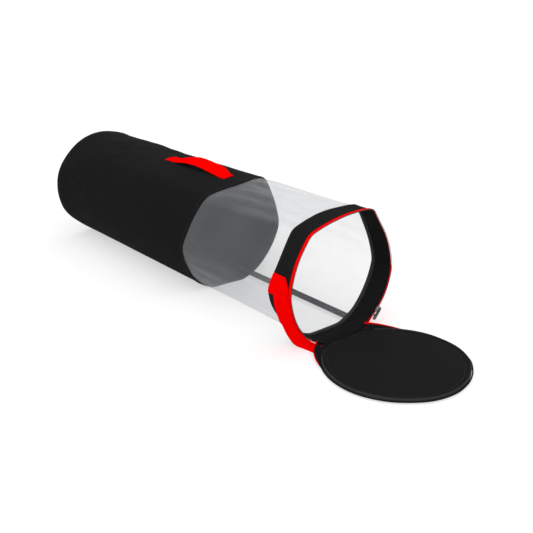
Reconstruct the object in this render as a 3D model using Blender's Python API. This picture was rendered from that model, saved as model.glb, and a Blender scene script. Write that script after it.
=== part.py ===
"""Gift wrap organizer: a soft round storage bag lying on its side, with its lid open.

The tube runs along X with its mouth towards +X. The floor is Z = 0. Lengths are in metres.
The origin is under the middle of the object's bounding box, lid included.
"""

import math

import bmesh
import bpy
from mathutils import Matrix, Vector

# Main bag
tube_radius = 0.152
tube_flat_sag = 0.006
rear_length = 0.666
window_length = 0.3275
collar_length = 0.0552
end_round_radius = 0.016
fabric_thickness = 0.002
film_thickness = 0.0005
film_overlap = 0.008
seat_gap = 0.0003

# Soft flats that a full load presses into the wall, between edges at angles from the top.
# The edges lie on whole facets of a ring.
flat_edge_angles = [math.radians(a) for a in (-142.5, -93.75, -41.25, 33.75, 93.75, 142.5)]
flat_depth_shares = (0.25, 0.5, 0.5, 0.5, 0.25)
flat_start = 0.030
flat_run = 0.310

# Boards and bindings inside the bag
board_thickness = 0.002
binding_width = 0.010
binding_thickness = 0.001
rear_board_inset = 0.002
seam_side_angle = math.radians(152)
body_seam_width = 0.013
body_seam_end_gap = 0.004
film_seam_width = 0.016
film_seam_thickness = 0.0012

# Zip
zip_tape_thickness = 0.001
zip_tape_width = 0.007
zip_coil_radius = 0.0013
zip_chain_gap = 0.0028
zip_tape_end_angle = math.radians(150)
zip_coil_end_angle = math.radians(139)
zip_stop_length = 0.004
zip_stop_width = 0.0032
zip_stop_height = 0.0034
slider_park_angle = math.radians(134)
slider_length = 0.013
slider_width = 0.0086
slider_tail_width = 0.0066
slider_plate_thickness = 0.0014
slider_post_length = 0.0045
slider_post_width = 0.0016
slider_post_inset = 0.0007
slider_running_gap = 0.0007
crown_length = 0.0100
crown_height = 0.0042
crown_bar = 0.0010
crown_width = 0.0022
crown_sink = 0.0004
pull_length = 0.026
pull_width = 0.0082
pull_neck_width = 0.0066
pull_tip_width = 0.0050
pull_thickness = 0.0014
pull_pin_side = 0.0014
pull_eye_length = 0.0052
pull_crown_gap = 0.0006

# Lid
lid_hinge_height = 0.0021
lid_panel_thickness = 0.0017
lid_board_thickness = 0.0015
lid_lining_thickness = 0.0008
lid_board_inset = 0.006
lid_lining_inset = 0.0006
lid_tape_height = 0.0050
piping_radius = 0.0017
piping_recess = 0.0002
tail_start_angle = math.radians(151)
tail_end_angle = math.radians(126)
tail_thickness = 0.0026
tail_height = 0.0042
tail_tip_height = 0.0012
hinge_strip_width = 0.092
hinge_strip_thickness = 0.0012

# Webbing straps
webbing_thickness = 0.0016
carry_width = 0.038
carry_tab_width = 0.042
carry_front_margin = 0.039
carry_tab_length = 0.034
carry_span = 0.176
carry_rise = 0.0205
carry_split_rise = 0.0095
carry_angle = math.radians(0)
end_width = 0.040
end_tab_length = 0.048
end_tab_inset = 0.0005
end_tab_top_angle = math.radians(77)
end_side_top_angle = math.radians(92)
end_side_leave_angle = math.radians(104.5)
end_side_tape_gap = 0.0008
end_slack_pull = 0.060
end_floor_side = 0.1035
end_turn_side = 0.098
end_turn_radius = 0.0025
end_loop_axis_gap = 0.0015
end_loop_reach = 0.092
end_floor_gap = 0.0001

# Mesh fineness
round_steps = 96
hidden_steps = 72
bead_sides = 6
arch_steps = 12
side_wall_steps = 4
side_slack_steps = 9
strap_turn_steps = 5
corner_steps = 4
inner_corner_steps = 2
collar_fade_steps = 4

# Sizes worked out from the ones above
inner_radius = tube_radius - fabric_thickness
film_radius = inner_radius - seat_gap
flat_share = 1 - tube_flat_sag / tube_radius
axis_height = tube_radius * flat_share
window_start = rear_length
collar_start = rear_length + window_length
mouth = collar_start + collar_length
tape_inner_radius = tube_radius + seat_gap
tape_outer_radius = tape_inner_radius + zip_tape_thickness
coil_ring_radius = tape_inner_radius + zip_tape_thickness / 2
tape_front = mouth + 2 * seat_gap
tape_rear = tape_front - zip_tape_width
mouth_coil_x = tape_front + seat_gap + zip_coil_radius
lid_coil_x = mouth_coil_x + zip_chain_gap + 2 * zip_coil_radius
lid_tape_start = lid_coil_x + zip_coil_radius + seat_gap
hinge_x = lid_tape_start + lid_tape_height + piping_recess
piping_ring_radius = tape_outer_radius + seat_gap + piping_radius
lid_outer_radius = piping_ring_radius + piping_radius
overall_length = hinge_x + axis_height - lid_hinge_height + lid_outer_radius
shift_x = -overall_length / 2
lid_open_angle = math.radians(90)
end_side_front = tape_rear - end_side_tape_gap
end_floor_z = end_floor_gap + webbing_thickness / 2
end_axis_x = hinge_x + end_loop_axis_gap
collar_fade_start = collar_start + film_overlap
collar_fade_run = tape_rear - collar_fade_start
collar_fade_stations = [
    collar_fade_start + collar_fade_run * i / collar_fade_steps for i in range(collar_fade_steps + 1)
]
flat_stations = (flat_start, flat_start + flat_run, *collar_fade_stations)

# Colours as red, green and blue, then roughness, metallic value and alpha
black = (0.013, 0.013, 0.014)
red = (0.9, 0.004, 0.004)
looks = {
    "fabric": (black, 0.85, 0.0, 1.0),
    "binding": ((0.02, 0.02, 0.021), 0.8, 0.0, 1.0),
    "film": ((0.9, 0.92, 0.94), 0.12, 0.0, 0.3),
    "board": ((0.35, 0.27, 0.2), 0.9, 0.0, 1.0),
    "webbing": (red, 0.7, 0.0, 1.0),
    "tape": (red, 0.75, 0.0, 1.0),
    "coil": ((0.03, 0.03, 0.032), 0.45, 0.0, 1.0),
    "metal": ((0.05, 0.05, 0.055), 0.35, 0.9, 1.0),
}


def remove_everything():
    for item in list(bpy.data.objects):
        bpy.data.objects.remove(item, do_unlink=True)


def material(name, colour, roughness, metallic=0.0, alpha=1.0):
    found = bpy.data.materials.new(name)
    found.use_nodes = True
    shader = found.node_tree.nodes["Principled BSDF"]
    shader.inputs["Base Color"].default_value = (*colour, 1.0)
    shader.inputs["Roughness"].default_value = roughness
    shader.inputs["Metallic"].default_value = metallic
    shader.inputs["Alpha"].default_value = alpha
    return found


def place(name, mesh_data, look, parent=None, smooth=True):
    """Makes a named object with its own material. Parented objects keep local coordinates."""
    data = bpy.data.meshes.new(name)
    mesh_data.normal_update()
    mesh_data.to_mesh(data)
    mesh_data.free()
    item = bpy.data.objects.new(name, data)
    bpy.context.scene.collection.objects.link(item)
    colour, roughness, metallic, alpha = looks[look]
    data.materials.append(material(name + "_finish", colour, roughness, metallic, alpha))
    if smooth:
        data.shade_smooth()
        data.set_sharp_from_angle(angle=math.radians(35))
    if parent:
        item.parent = parent
    else:
        item.location.x = shift_x
    return item


def axis_empty(name, location, parent=None):
    """An empty on a joint's axis, at a point of the unshifted tube frame."""
    item = bpy.data.objects.new(name, None)
    bpy.context.scene.collection.objects.link(item)
    item.location = location
    if parent:
        item.parent = parent
    else:
        item.location.x += shift_x
    return item


def flatness(x):
    """How much of the full flats the wall has at a distance from the rear end: none at its ends."""
    rear = (x - flat_start) / flat_run
    front = (tape_rear - x) / collar_fade_run
    return min(max(min(rear, front), 0), 1)


def wall_sink(angle, x):
    """How far the wall lies inside the full round at an angle from the top."""
    turn = (angle + math.pi) % (2 * math.pi) - math.pi
    spans = zip(flat_edge_angles, flat_edge_angles[1:], flat_depth_shares)
    for start, end, depth_share in spans:
        if start <= turn <= end:
            chord = math.cos((end - start) / 2) / math.cos(turn - (start + end) / 2)
            return tube_radius * (1 - chord) * depth_share * flatness(x)
    return 0


def section_point(angle, radius, x):
    """Y and Z on the tube's section at an angle from the top, towards +Y, flat at the bottom."""
    y = math.sin(angle)
    z = max(math.cos(angle), -flat_share)
    reach = radius - wall_sink(angle, x)
    return reach * y, axis_height + reach * z


def loft(sections, closed_path=False):
    """Joins equal closed sections of points into one closed body."""
    mesh = bmesh.new()
    rings = [[mesh.verts.new(point) for point in section] for section in sections]
    count = len(rings[0])
    steps = len(rings) if closed_path else len(rings) - 1
    for i in range(steps):
        this, following = rings[i], rings[(i + 1) % len(rings)]
        for j in range(count):
            k = (j + 1) % count
            mesh.faces.new((this[j], this[k], following[k], following[j]))
    if not closed_path:
        mesh.faces.new(rings[0])
        mesh.faces.new(list(reversed(rings[-1])))
    bmesh.ops.recalc_face_normals(mesh, faces=mesh.faces)
    return mesh


def sweep_round(profile, steps=round_steps, start=None, end=None, offset=Vector((0, 0, 0))):
    """Sweeps a closed profile of (x, radius) points round the section, or between two angles.

    Part rings take the facets of whole ones, so that they lie close on them.
    """
    whole = start is None
    facet = 2 * math.pi / steps
    if whole:
        angles = [facet * i for i in range(steps)]
    else:
        start, end = sorted((start, end))
        inside = range(math.ceil(start / facet + 0.1), math.ceil(end / facet - 0.1))
        angles = [start, *(facet * i for i in inside), end]
    sections = []
    for angle in angles:
        section = []
        for x, radius in profile:
            y, z = section_point(angle, radius, x)
            section.append(Vector((x, y, z)) - offset)
        sections.append(section)
    return loft(sections, closed_path=whole)


def disc(profile, steps=round_steps, offset=Vector((0, 0, 0)), lowest=None):
    """Turns an open profile that starts and ends on the axis into one closed dish."""
    mesh = bmesh.new()
    centre = Vector((0, 0, axis_height))
    first = mesh.verts.new(Vector((profile[0][0], 0, 0)) + centre - offset)
    last = mesh.verts.new(Vector((profile[-1][0], 0, 0)) + centre - offset)
    rings = []
    for x, radius in profile[1:-1]:
        ring = []
        for i in range(steps):
            y, z = section_point(2 * math.pi * i / steps, radius, x)
            if lowest is not None:
                z = max(z, lowest)
            ring.append(mesh.verts.new(Vector((x, y, z)) - offset))
        rings.append(ring)
    for i in range(steps):
        k = (i + 1) % steps
        mesh.faces.new((first, rings[0][i], rings[0][k]))
        mesh.faces.new((last, rings[-1][k], rings[-1][i]))
        for this, following in zip(rings, rings[1:]):
            mesh.faces.new((this[i], following[i], following[k], this[k]))
    bmesh.ops.recalc_face_normals(mesh, faces=mesh.faces)
    return mesh


def tube_wall(start, end, inner, outer):
    """A wall's profile of (x, radius), with points also where the tube's flats begin or end."""
    along = [start, *(x for x in flat_stations if start < x < end), end]
    return [(x, outer) for x in along] + [(x, inner) for x in reversed(along)]


def bead(centre_x, centre_radius, size, sides=bead_sides):
    """A round bead's profile of (x, radius), with its flats along both."""
    points = []
    for i in range(sides):
        turn = 2 * math.pi * (i + 0.5) / sides
        points.append((centre_x + size * math.cos(turn), centre_radius + size * math.sin(turn)))
    return points


def box_mesh(low, high):
    mesh = bmesh.new()
    low, high = Vector(low), Vector(high)
    size = high - low
    shape = Matrix.Translation((low + high) / 2) @ Matrix.Diagonal((*size, 1))
    bmesh.ops.create_cube(mesh, size=1, matrix=shape)
    return mesh


def boolean(target, tool_mesh, name, operation):
    """Adds or cuts a tool, which stays in the file as a hidden wire object."""
    data = bpy.data.meshes.new(name)
    tool_mesh.to_mesh(data)
    tool_mesh.free()
    tool = bpy.data.objects.new(name, data)
    bpy.context.scene.collection.objects.link(tool)
    tool.parent = target.parent
    tool.hide_render = True
    tool.display_type = "WIRE"
    change = target.modifiers.new(name, "BOOLEAN")
    change.operation = operation
    change.solver = "EXACT"
    change.object = tool


# Main bag


def make_rear_body():
    wall = tube_wall(end_round_radius + seat_gap, rear_length, inner_radius, tube_radius)
    place("rear_body", sweep_round(wall), "fabric")


def make_rear_end():
    """The end panel turns over into the tube on a soft round edge."""
    outer_flat = tube_radius - end_round_radius
    inner_round = end_round_radius - fabric_thickness
    outer_turns = [math.pi / 2 * i / corner_steps for i in range(corner_steps + 1)]
    inner_turns = [math.pi / 2 * i / inner_corner_steps for i in range(inner_corner_steps, -1, -1)]
    outer = [
        (end_round_radius * (1 - math.cos(a)), outer_flat + end_round_radius * math.sin(a))
        for a in outer_turns
    ]
    inner = [
        (end_round_radius - inner_round * math.cos(a), outer_flat + inner_round * math.sin(a))
        for a in inner_turns
    ]
    profile = [(0, 0)] + outer + inner + [(fabric_thickness, 0)]
    place("rear_end_panel", disc(profile), "fabric")
    start = fabric_thickness + seat_gap
    board_radius = outer_flat - rear_board_inset
    board = [
        (start, 0),
        (start, board_radius),
        (start + board_thickness, board_radius),
        (start + board_thickness, 0),
    ]
    place("rear_end_board", disc(board, hidden_steps), "board")


def make_inner_binding(name, start, outer):
    wall = tube_wall(start, start + binding_width, outer - binding_thickness, outer)
    place(name, sweep_round(wall), "binding")


def make_bindings():
    make_inner_binding("rear_seam_binding", end_round_radius + seat_gap, inner_radius - seat_gap)
    film_inner = film_radius - film_thickness - seat_gap
    make_inner_binding("window_rear_binding", window_start - film_overlap, film_inner)
    make_inner_binding("window_front_binding", collar_start + film_overlap - binding_width, film_inner)


def make_length_seams():
    """Lengthwise seams, low on the far side."""
    outer = inner_radius - seat_gap
    half = body_seam_width / 2 / inner_radius
    start = end_round_radius + binding_width + body_seam_end_gap
    end = window_start - film_overlap - body_seam_end_gap
    wall = tube_wall(start, end, outer - binding_thickness, outer)
    seam = sweep_round(wall, round_steps, seam_side_angle - half, seam_side_angle + half)
    place("body_seam_binding", seam, "binding")
    half = film_seam_width / 2 / inner_radius
    inner = film_radius + seat_gap
    wall = tube_wall(window_start + seat_gap, collar_start - seat_gap, inner, inner + film_seam_thickness)
    seam = sweep_round(wall, round_steps, seam_side_angle - half, seam_side_angle + half)
    place("window_seam_strip", seam, "binding")


def make_window():
    wall = tube_wall(
        window_start - film_overlap,
        collar_start + film_overlap,
        film_radius - film_thickness,
        film_radius,
    )
    place("window_film", sweep_round(wall), "film")


def make_collar():
    wall = tube_wall(collar_start, mouth, inner_radius, tube_radius)
    place("front_collar", sweep_round(wall), "fabric")


# Mouth zip


def make_mouth_zip():
    wall = tube_wall(tape_rear, tape_front, tape_inner_radius, tape_outer_radius)
    tape = sweep_round(wall, round_steps, -zip_tape_end_angle, zip_tape_end_angle)
    place("mouth_zip_tape", tape, "tape")
    coil = bead(mouth_coil_x, coil_ring_radius, zip_coil_radius)
    chain = sweep_round(coil, round_steps, -zip_coil_end_angle, zip_coil_end_angle)
    place("mouth_zip_coil", chain, "coil")


def make_zip_stop(name, side):
    """A crimped stop just past the coil's end, in line with it."""
    start = zip_coil_end_angle + seat_gap / coil_ring_radius
    end = start + zip_stop_length / coil_ring_radius
    rear = tape_front + seat_gap
    low = coil_ring_radius - zip_stop_height / 2
    wall = tube_wall(rear, rear + zip_stop_width, low, low + zip_stop_height)
    place(name, sweep_round(wall, round_steps, side * start, side * end), "metal")


def shield(length, nose_width, tail_width):
    """A slider plate's outline from above: a wide nose that narrows to the tail."""
    nose_shares = ((-1, 0.8), (-0.45, 1), (0.15, 1))
    tail_shares = ((0.7, 1), (1, 0.8))
    right = []
    for shares, width in ((nose_shares, nose_width), (tail_shares, tail_width)):
        for along_share, wide_share in shares:
            right.append((along_share * length / 2, wide_share * width / 2))
    left = [(along, -across) for along, across in reversed(right)]
    return right + left


def make_slider():
    """Two plates on a post that runs between the two coils, with a crown for the pull."""
    centre_x = (mouth_coil_x + lid_coil_x) / 2
    chain_outer = zip_coil_radius + slider_running_gap
    plate = shield(slider_length, slider_width, slider_tail_width)
    post_shift = slider_post_inset - (slider_length - slider_post_length) / 2
    post = [
        (along * slider_post_length / slider_length + post_shift, across * slider_post_width / slider_width)
        for along, across in plate
    ]
    levels = [
        (-chain_outer - slider_plate_thickness, plate),
        (-chain_outer, plate),
        (-chain_outer, post),
        (chain_outer, post),
        (chain_outer, plate),
        (chain_outer + slider_plate_thickness, plate),
    ]
    hub = axis_empty("slider_track_centre", (centre_x, 0, axis_height))
    hub.rotation_euler.x = -slider_park_angle
    sections = [
        [Vector((across, along, coil_ring_radius + level)) for along, across in outline]
        for level, outline in levels
    ]
    slider = place("zip_slider", loft(sections), "metal", hub, smooth=False)
    base = coil_ring_radius + chain_outer + slider_plate_thickness
    crown = box_mesh(
        (-crown_width / 2, -crown_length / 2, base - crown_sink),
        (crown_width / 2, crown_length / 2, base + crown_height),
    )
    boolean(slider, crown, "slider_crown", "UNION")
    eye = box_mesh(
        (-crown_width, -crown_length / 2 + crown_bar, base),
        (crown_width, crown_length / 2 - crown_bar, base + crown_height - crown_bar),
    )
    boolean(slider, eye, "slider_crown_eye", "DIFFERENCE")
    make_pull(hub, base + (crown_height - crown_bar) / 2)


def make_pull(hub, pin_radius):
    """The pull lies along the zip, pointing towards its low end, with its pin under the crown."""
    pin = axis_empty("pull_pin_axis", (0, 0, pin_radius), hub)
    half_thick = pull_thickness / 2
    half_pin = pull_pin_side / 2
    length_shares = (0, 0.3, 0.55, 0.9, 1)
    widths = (pull_neck_width, pull_neck_width, pull_width, pull_width, pull_tip_width)
    outline = [(share * pull_length - half_pin, wide / 2) for share, wide in zip(length_shares, widths)]
    outline += [(along, -across) for along, across in reversed(outline)]
    sections = [
        [Vector((across, along, height)) for along, across in outline]
        for height in (-half_thick, half_thick)
    ]
    pull = place("zip_pull", loft(sections), "metal", pin, smooth=False)
    eye_half = crown_width / 2 + pull_crown_gap
    eye = box_mesh(
        (-eye_half, half_pin, -pull_thickness),
        (eye_half, half_pin + pull_eye_length, pull_thickness),
    )
    boolean(pull, eye, "pull_eye", "DIFFERENCE")


# Lid, built shut round its hinge line and then turned open


def make_lid():
    hinge_point = Vector((hinge_x, 0, lid_hinge_height))
    hinge = axis_empty("lid_hinge_axis", hinge_point)
    hinge.rotation_euler.y = lid_open_angle
    lowest = lid_hinge_height + seat_gap
    panel_start = hinge_x - lid_panel_thickness
    board_end = panel_start - seat_gap
    board_start = board_end - lid_board_thickness
    lining_end = board_start - seat_gap
    lining_start = lining_end - lid_lining_thickness
    layers = (
        ("lid_panel", panel_start, hinge_x, tube_radius, "fabric", round_steps),
        ("lid_board", board_start, board_end, tube_radius - lid_board_inset, "board", hidden_steps),
        ("lid_lining", lining_start, lining_end, tube_radius - lid_lining_inset, "fabric", round_steps),
    )
    for name, start, end, radius, look, steps in layers:
        profile = [(start, 0), (start, radius), (end, radius), (end, 0)]
        place(name, disc(profile, steps, hinge_point, lowest), look, hinge)
    make_lid_edge(hinge, hinge_point)


def make_lid_edge(hinge, hinge_point):
    tape_end = lid_tape_start + lid_tape_height
    wall = tube_wall(lid_tape_start, tape_end, tape_inner_radius, tape_outer_radius)
    tape = sweep_round(wall, round_steps, -zip_tape_end_angle, zip_tape_end_angle, hinge_point)
    place("lid_zip_tape", tape, "binding", hinge)
    coil = bead(lid_coil_x, coil_ring_radius, zip_coil_radius)
    chain = sweep_round(coil, round_steps, -zip_coil_end_angle, zip_coil_end_angle, hinge_point)
    place("lid_zip_coil", chain, "coil", hinge)
    piping = bead(hinge_x - piping_recess - piping_radius, piping_ring_radius, piping_radius)
    piping_end = tail_end_angle - seat_gap / piping_ring_radius
    cord = sweep_round(piping, round_steps, -piping_end, piping_end, hinge_point)
    place("lid_edge_piping", cord, "fabric", hinge)
    for name, side in (("lid_tape_tail_near", -1), ("lid_tape_tail_far", 1)):
        make_tape_tail(name, side, hinge, hinge_point)


def make_tape_tail(name, side, hinge, hinge_point):
    """The red end of the zip tape, folded over the lid's edge and running out to a point."""
    inner = tape_outer_radius + seat_gap
    front = hinge_x - piping_recess
    steps = round(round_steps * (tail_start_angle - tail_end_angle) / (2 * math.pi))
    sections = []
    for i in range(steps + 1):
        share = i / steps
        angle = side * (tail_start_angle + (tail_end_angle - tail_start_angle) * share)
        high = tail_height + (tail_tip_height - tail_height) * share
        thick = tail_thickness + (zip_tape_thickness - tail_thickness) * share
        section = []
        for x, radius in tube_wall(front - high, front, inner, inner + thick):
            y, z = section_point(angle, radius, x)
            section.append(Vector((x, y, z)) - hinge_point)
        sections.append(section)
    place(name, loft(sections), "tape", hinge)


def make_hinge_strip():
    low = (mouth + seat_gap, -hinge_strip_width / 2, seat_gap)
    high = (hinge_x - seat_gap, hinge_strip_width / 2, seat_gap + hinge_strip_thickness)
    place("lid_hinge_strip", box_mesh(low, high), "fabric", smooth=False)


# Carry handle on top


def carry_start():
    return rear_length - carry_front_margin - carry_tab_length - carry_span


def carry_height(x):
    """The strap rises from its stitched ends in one smooth arch."""
    share = min(max((x - carry_start()) / carry_span, 0), 1)
    return carry_rise * math.sin(math.pi * share) ** 2


def carry_point(x, across, rise):
    """A point of the strap, as far over the tube's wall as the arch and the given rise."""
    angle = carry_angle + across / tube_radius
    y, z = section_point(angle, tube_radius + seat_gap + carry_height(x) + rise, x)
    return Vector((x, y, z))


def carry_ribbon(start, end, start_width, end_width, pivot_point):
    """A strap piece over the top of the tube, curved across to follow it."""
    across_shares = (-0.5, -0.25, 0, 0.25, 0.5)
    sections = []
    for i in range(arch_steps + 1):
        share = i / arch_steps
        x = start + (end - start) * share
        wide = start_width + (end_width - start_width) * share
        under = [carry_point(x, across * wide, 0) for across in across_shares]
        over = [carry_point(x, across * wide, webbing_thickness) for across in reversed(across_shares)]
        sections.append([point - pivot_point for point in under + over])
    return loft(sections)


def make_carry_handle():
    """Two stitched ends that stay put, and the grip between them that can lean."""
    begin = carry_start()
    finish = begin + carry_span
    rise_share = math.asin(math.sqrt(carry_split_rise / carry_rise)) / math.pi
    split = rise_share * carry_span
    pivot_point = carry_point(begin, 0, 0)
    pivot = axis_empty("carry_handle_axis", pivot_point)
    grip_start, grip_end = begin + split + seat_gap, finish - split - seat_gap
    pieces = (
        ("carry_handle_tab_rear", begin - carry_tab_length, begin + split, carry_tab_width, carry_width),
        ("carry_handle_strap", grip_start, grip_end, carry_width, carry_width),
        ("carry_handle_tab_front", finish - split, finish + carry_tab_length, carry_width, carry_tab_width),
    )
    for name, start, end, start_width, end_width in pieces:
        place(name, carry_ribbon(start, end, start_width, end_width, pivot_point), "webbing", pivot)


# End handle at the mouth


def end_handle_x():
    return collar_start + end_tab_inset + end_width / 2


def make_end_tab(name, side):
    start = end_tab_top_angle
    end = start + end_tab_length / tube_radius
    inner = tube_radius + seat_gap
    middle = end_handle_x()
    wall = tube_wall(middle - end_width / 2, middle + end_width / 2, inner, inner + webbing_thickness)
    place(name, sweep_round(wall, round_steps, side * start, side * end), "webbing")


def ribbon_section(inner_edge, outer_edge, out):
    """A flat strap's section between two edge points, as thick as webbing along a direction."""
    shift = Vector(out) * webbing_thickness / 2
    inner_edge, outer_edge = Vector(inner_edge), Vector(outer_edge)
    return [inner_edge + shift, outer_edge + shift, outer_edge - shift, inner_edge - shift]


def mirrored(section):
    return [Vector((point.x, -point.y, point.z)) for point in section]


def end_side_path():
    """Y and Z of a side's middle line: down the collar, then slack and inwards to the floor."""
    radius = tube_radius + 2 * seat_gap + webbing_thickness + webbing_thickness / 2
    points = []
    for i in range(side_wall_steps + 1):
        angle = end_side_top_angle + (end_side_leave_angle - end_side_top_angle) * i / side_wall_steps
        points.append((radius * math.sin(angle), axis_height + radius * math.cos(angle)))
    start_y, start_z = points[-1]
    bend_y = start_y + end_slack_pull * math.cos(end_side_leave_angle)
    bend_z = start_z - end_slack_pull * math.sin(end_side_leave_angle)
    for i in range(1, side_slack_steps + 1):
        share = i / side_slack_steps
        left = 1 - share
        y = start_y * left**2 + 2 * bend_y * share * left + end_floor_side * share**2
        z = start_z * left**2 + 2 * bend_z * share * left + end_floor_z * share**2
        points.append((y, z))
    return points


def floor_turn(centre_x, centre_y, start_turn):
    """Sections of a quarter turn on the floor, as the strap bends round a point beside it."""
    sections = []
    for i in range(strap_turn_steps + 1):
        turn = start_turn + math.pi / 2 * i / strap_turn_steps
        along, across = math.cos(turn), math.sin(turn)
        edges = []
        for reach in (end_turn_radius, end_turn_radius + end_width):
            edges.append((centre_x + reach * along, centre_y + reach * across, end_floor_z))
        sections.append(edges)
    return sections


def end_side_sections():
    """A side on the +Y half: it hangs to the floor, bends forward and ends beside the lid's hinge."""
    path = end_side_path()
    sections = []
    for i, (y, z) in enumerate(path):
        before, after = path[max(i - 1, 0)], path[min(i + 1, len(path) - 1)]
        run = Vector((after[0] - before[0], after[1] - before[1])).normalized()
        front = (end_side_front, y, z)
        rear = (end_side_front - end_width, y, z)
        sections.append(ribbon_section(rear, front, (0, -run.y, run.x)))
    down = (0, 0, -1)
    turn_x = end_side_front + end_turn_radius
    for near, away in floor_turn(turn_x, end_turn_side, math.pi):
        sections.append(ribbon_section(away, near, down))
    cut_x = end_axis_x - webbing_thickness / 2 - 2 * seat_gap
    inner = (cut_x, end_turn_side - end_turn_radius - end_width, end_floor_z)
    outer = (cut_x, end_turn_side - end_turn_radius, end_floor_z)
    sections.append(ribbon_section(inner, outer, down))
    return sections


def end_loop_sections():
    """The loop on the floor under the open lid: forward from the hinge, across and back."""
    down = (0, 0, -1)
    outer_y = end_turn_side - end_turn_radius
    inner_y = outer_y - end_width
    start_x = end_axis_x + seat_gap
    half = [ribbon_section((start_x, inner_y, end_floor_z), (start_x, outer_y, end_floor_z), down)]
    turn_x = end_axis_x + end_loop_reach - end_width - end_turn_radius
    for near, away in reversed(floor_turn(turn_x, inner_y - end_turn_radius, 0)):
        half.append(ribbon_section(near, away, down))
    return half + [mirrored(section) for section in reversed(half)]


def make_end_handle():
    """Two sides that stay put, and the loop between them, which turns up with the lid."""
    sides = end_side_sections()
    place("end_handle_side_far", loft(sides), "webbing")
    place("end_handle_side_near", loft([mirrored(section) for section in sides]), "webbing")
    pivot_point = Vector((end_axis_x, 0, end_floor_z))
    pivot = axis_empty("end_handle_axis", pivot_point)
    sections = [[point - pivot_point for point in section] for section in end_loop_sections()]
    place("end_handle_strap", loft(sections), "webbing", pivot)


def build():
    remove_everything()
    make_rear_body()
    make_rear_end()
    make_bindings()
    make_length_seams()
    make_window()
    make_collar()
    make_mouth_zip()
    make_zip_stop("zip_stop_near", -1)
    make_zip_stop("zip_stop_far", 1)
    make_slider()
    make_lid()
    make_hinge_strip()
    make_carry_handle()
    make_end_tab("end_handle_tab_near", -1)
    make_end_tab("end_handle_tab_far", 1)
    make_end_handle()


build()
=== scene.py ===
"""Looks of the gift wrap organizer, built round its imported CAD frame.

Lengths are in metres. The bag runs along X with its mouth towards +X, and the floor is Z = 0.
Angles on the bag's wall are measured from its top towards +Y. The tables of angles below count in degrees,
and those of the wall count towards the camera side, -Y.
"""

import math

import bmesh
import bpy
import numpy as np
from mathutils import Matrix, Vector


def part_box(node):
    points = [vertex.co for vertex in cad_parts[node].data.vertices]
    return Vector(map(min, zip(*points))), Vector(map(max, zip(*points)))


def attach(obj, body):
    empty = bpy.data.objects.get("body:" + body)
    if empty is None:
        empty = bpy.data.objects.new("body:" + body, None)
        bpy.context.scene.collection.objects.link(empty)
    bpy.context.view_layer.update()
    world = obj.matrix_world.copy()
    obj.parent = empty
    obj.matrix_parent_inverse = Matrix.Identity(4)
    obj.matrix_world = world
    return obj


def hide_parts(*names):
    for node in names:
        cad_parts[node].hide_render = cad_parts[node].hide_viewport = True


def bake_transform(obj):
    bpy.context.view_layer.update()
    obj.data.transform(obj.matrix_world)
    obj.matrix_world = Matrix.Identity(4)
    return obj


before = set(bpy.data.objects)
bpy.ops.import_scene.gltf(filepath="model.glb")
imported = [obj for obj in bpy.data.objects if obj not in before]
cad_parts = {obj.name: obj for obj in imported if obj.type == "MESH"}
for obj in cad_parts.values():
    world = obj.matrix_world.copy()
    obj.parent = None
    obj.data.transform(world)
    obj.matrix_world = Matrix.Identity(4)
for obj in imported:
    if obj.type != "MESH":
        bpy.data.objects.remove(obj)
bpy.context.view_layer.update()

# Sizes read from the frame
rear_low, rear_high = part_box("rear_body")
panel_low, panel_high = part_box("rear_end_panel")
collar_low, collar_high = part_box("front_collar")
mouth_tape_low, mouth_tape_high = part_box("mouth_zip_tape")
mouth_coil_low, mouth_coil_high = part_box("mouth_zip_coil")
lid_low, lid_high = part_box("lid_panel")
lining_low, lining_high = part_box("lid_lining")
lid_tape_low, lid_tape_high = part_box("lid_zip_tape")
lid_coil_low, lid_coil_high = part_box("lid_zip_coil")
piping_low, piping_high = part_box("lid_edge_piping")
strap_low, strap_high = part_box("end_handle_strap")
side_low, side_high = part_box("end_handle_side_far")
hinge_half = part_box("lid_hinge_strip")[1].y
tube_radius = rear_high.y
axis_height = rear_high.z - tube_radius
flat_share = axis_height / tube_radius
end_x = panel_low.x
end_round = panel_high.x - panel_low.x
border_x = rear_high.x
collar_x = collar_low.x
mouth_x = collar_high.x
lid_radius = lid_high.y
lid_centre_x = lid_high.x - lid_radius
lid_flat_x = lid_low.x

# Gauges shared with the frame
fabric_thick = 0.002
film_thick = 0.0005
seat_gap = 0.0003
webbing_thick = 0.0016
strap_width = 0.040
tape_thick = 0.001
binding_thick = 0.001
film_depth = fabric_thick + seat_gap

# Edges, hems and seams
film_overlap = 0.008
end_turn = 0.009
rear_hem = 0.011
collar_hem = 0.009
rear_step = 0.008
collar_step = 0.004
hem_rise = 0.0006
hem_ease = 0.0012
hem_places = (-0.0018, -0.0006, 0.0006, 0.0018)
edge_inset = 0.0008
edge_nose = 0.0002
edge_round = 0.0007
seam_angle = math.radians(152)
length_binding_half = 0.0065
film_strip_half = 0.008
film_strip_thick = 0.0012

# Zip
coil_pitch = 0.0024
coil_winding = 0.00092
coil_wire = 0.00036
coil_reach = 139
tape_reach = 150
coil_lift = 0.0008

# Stitches
stitch_length = 0.0026
stitch_gap = 0.0010
stitch_thick = 0.00032

# Steps round the bag
fine_steps = 360
tape_steps = 320
ring_steps = 288

# The wall's soft flats
flat_edges = np.radians([-142.5, -93.75, -41.25, 33.75, 93.75, 142.5])
flat_depths = (0.25, 0.5, 0.5, 0.5, 0.25)
flat_start = end_x + 0.030
flat_run = 0.310
fade_start = collar_x + 0.008
fade_end = mouth_tape_low.x
corner_softness = np.radians([-5.0, -2.5, 0.0, 2.5, 5.0])
crisper_share = 0.4
floor_crispness = 150
flat_kept_angles = (0, 41, 60, 100, 124)
flat_kept_shares = (0.9, 0.9, 0.55, 0.5, 0)

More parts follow.
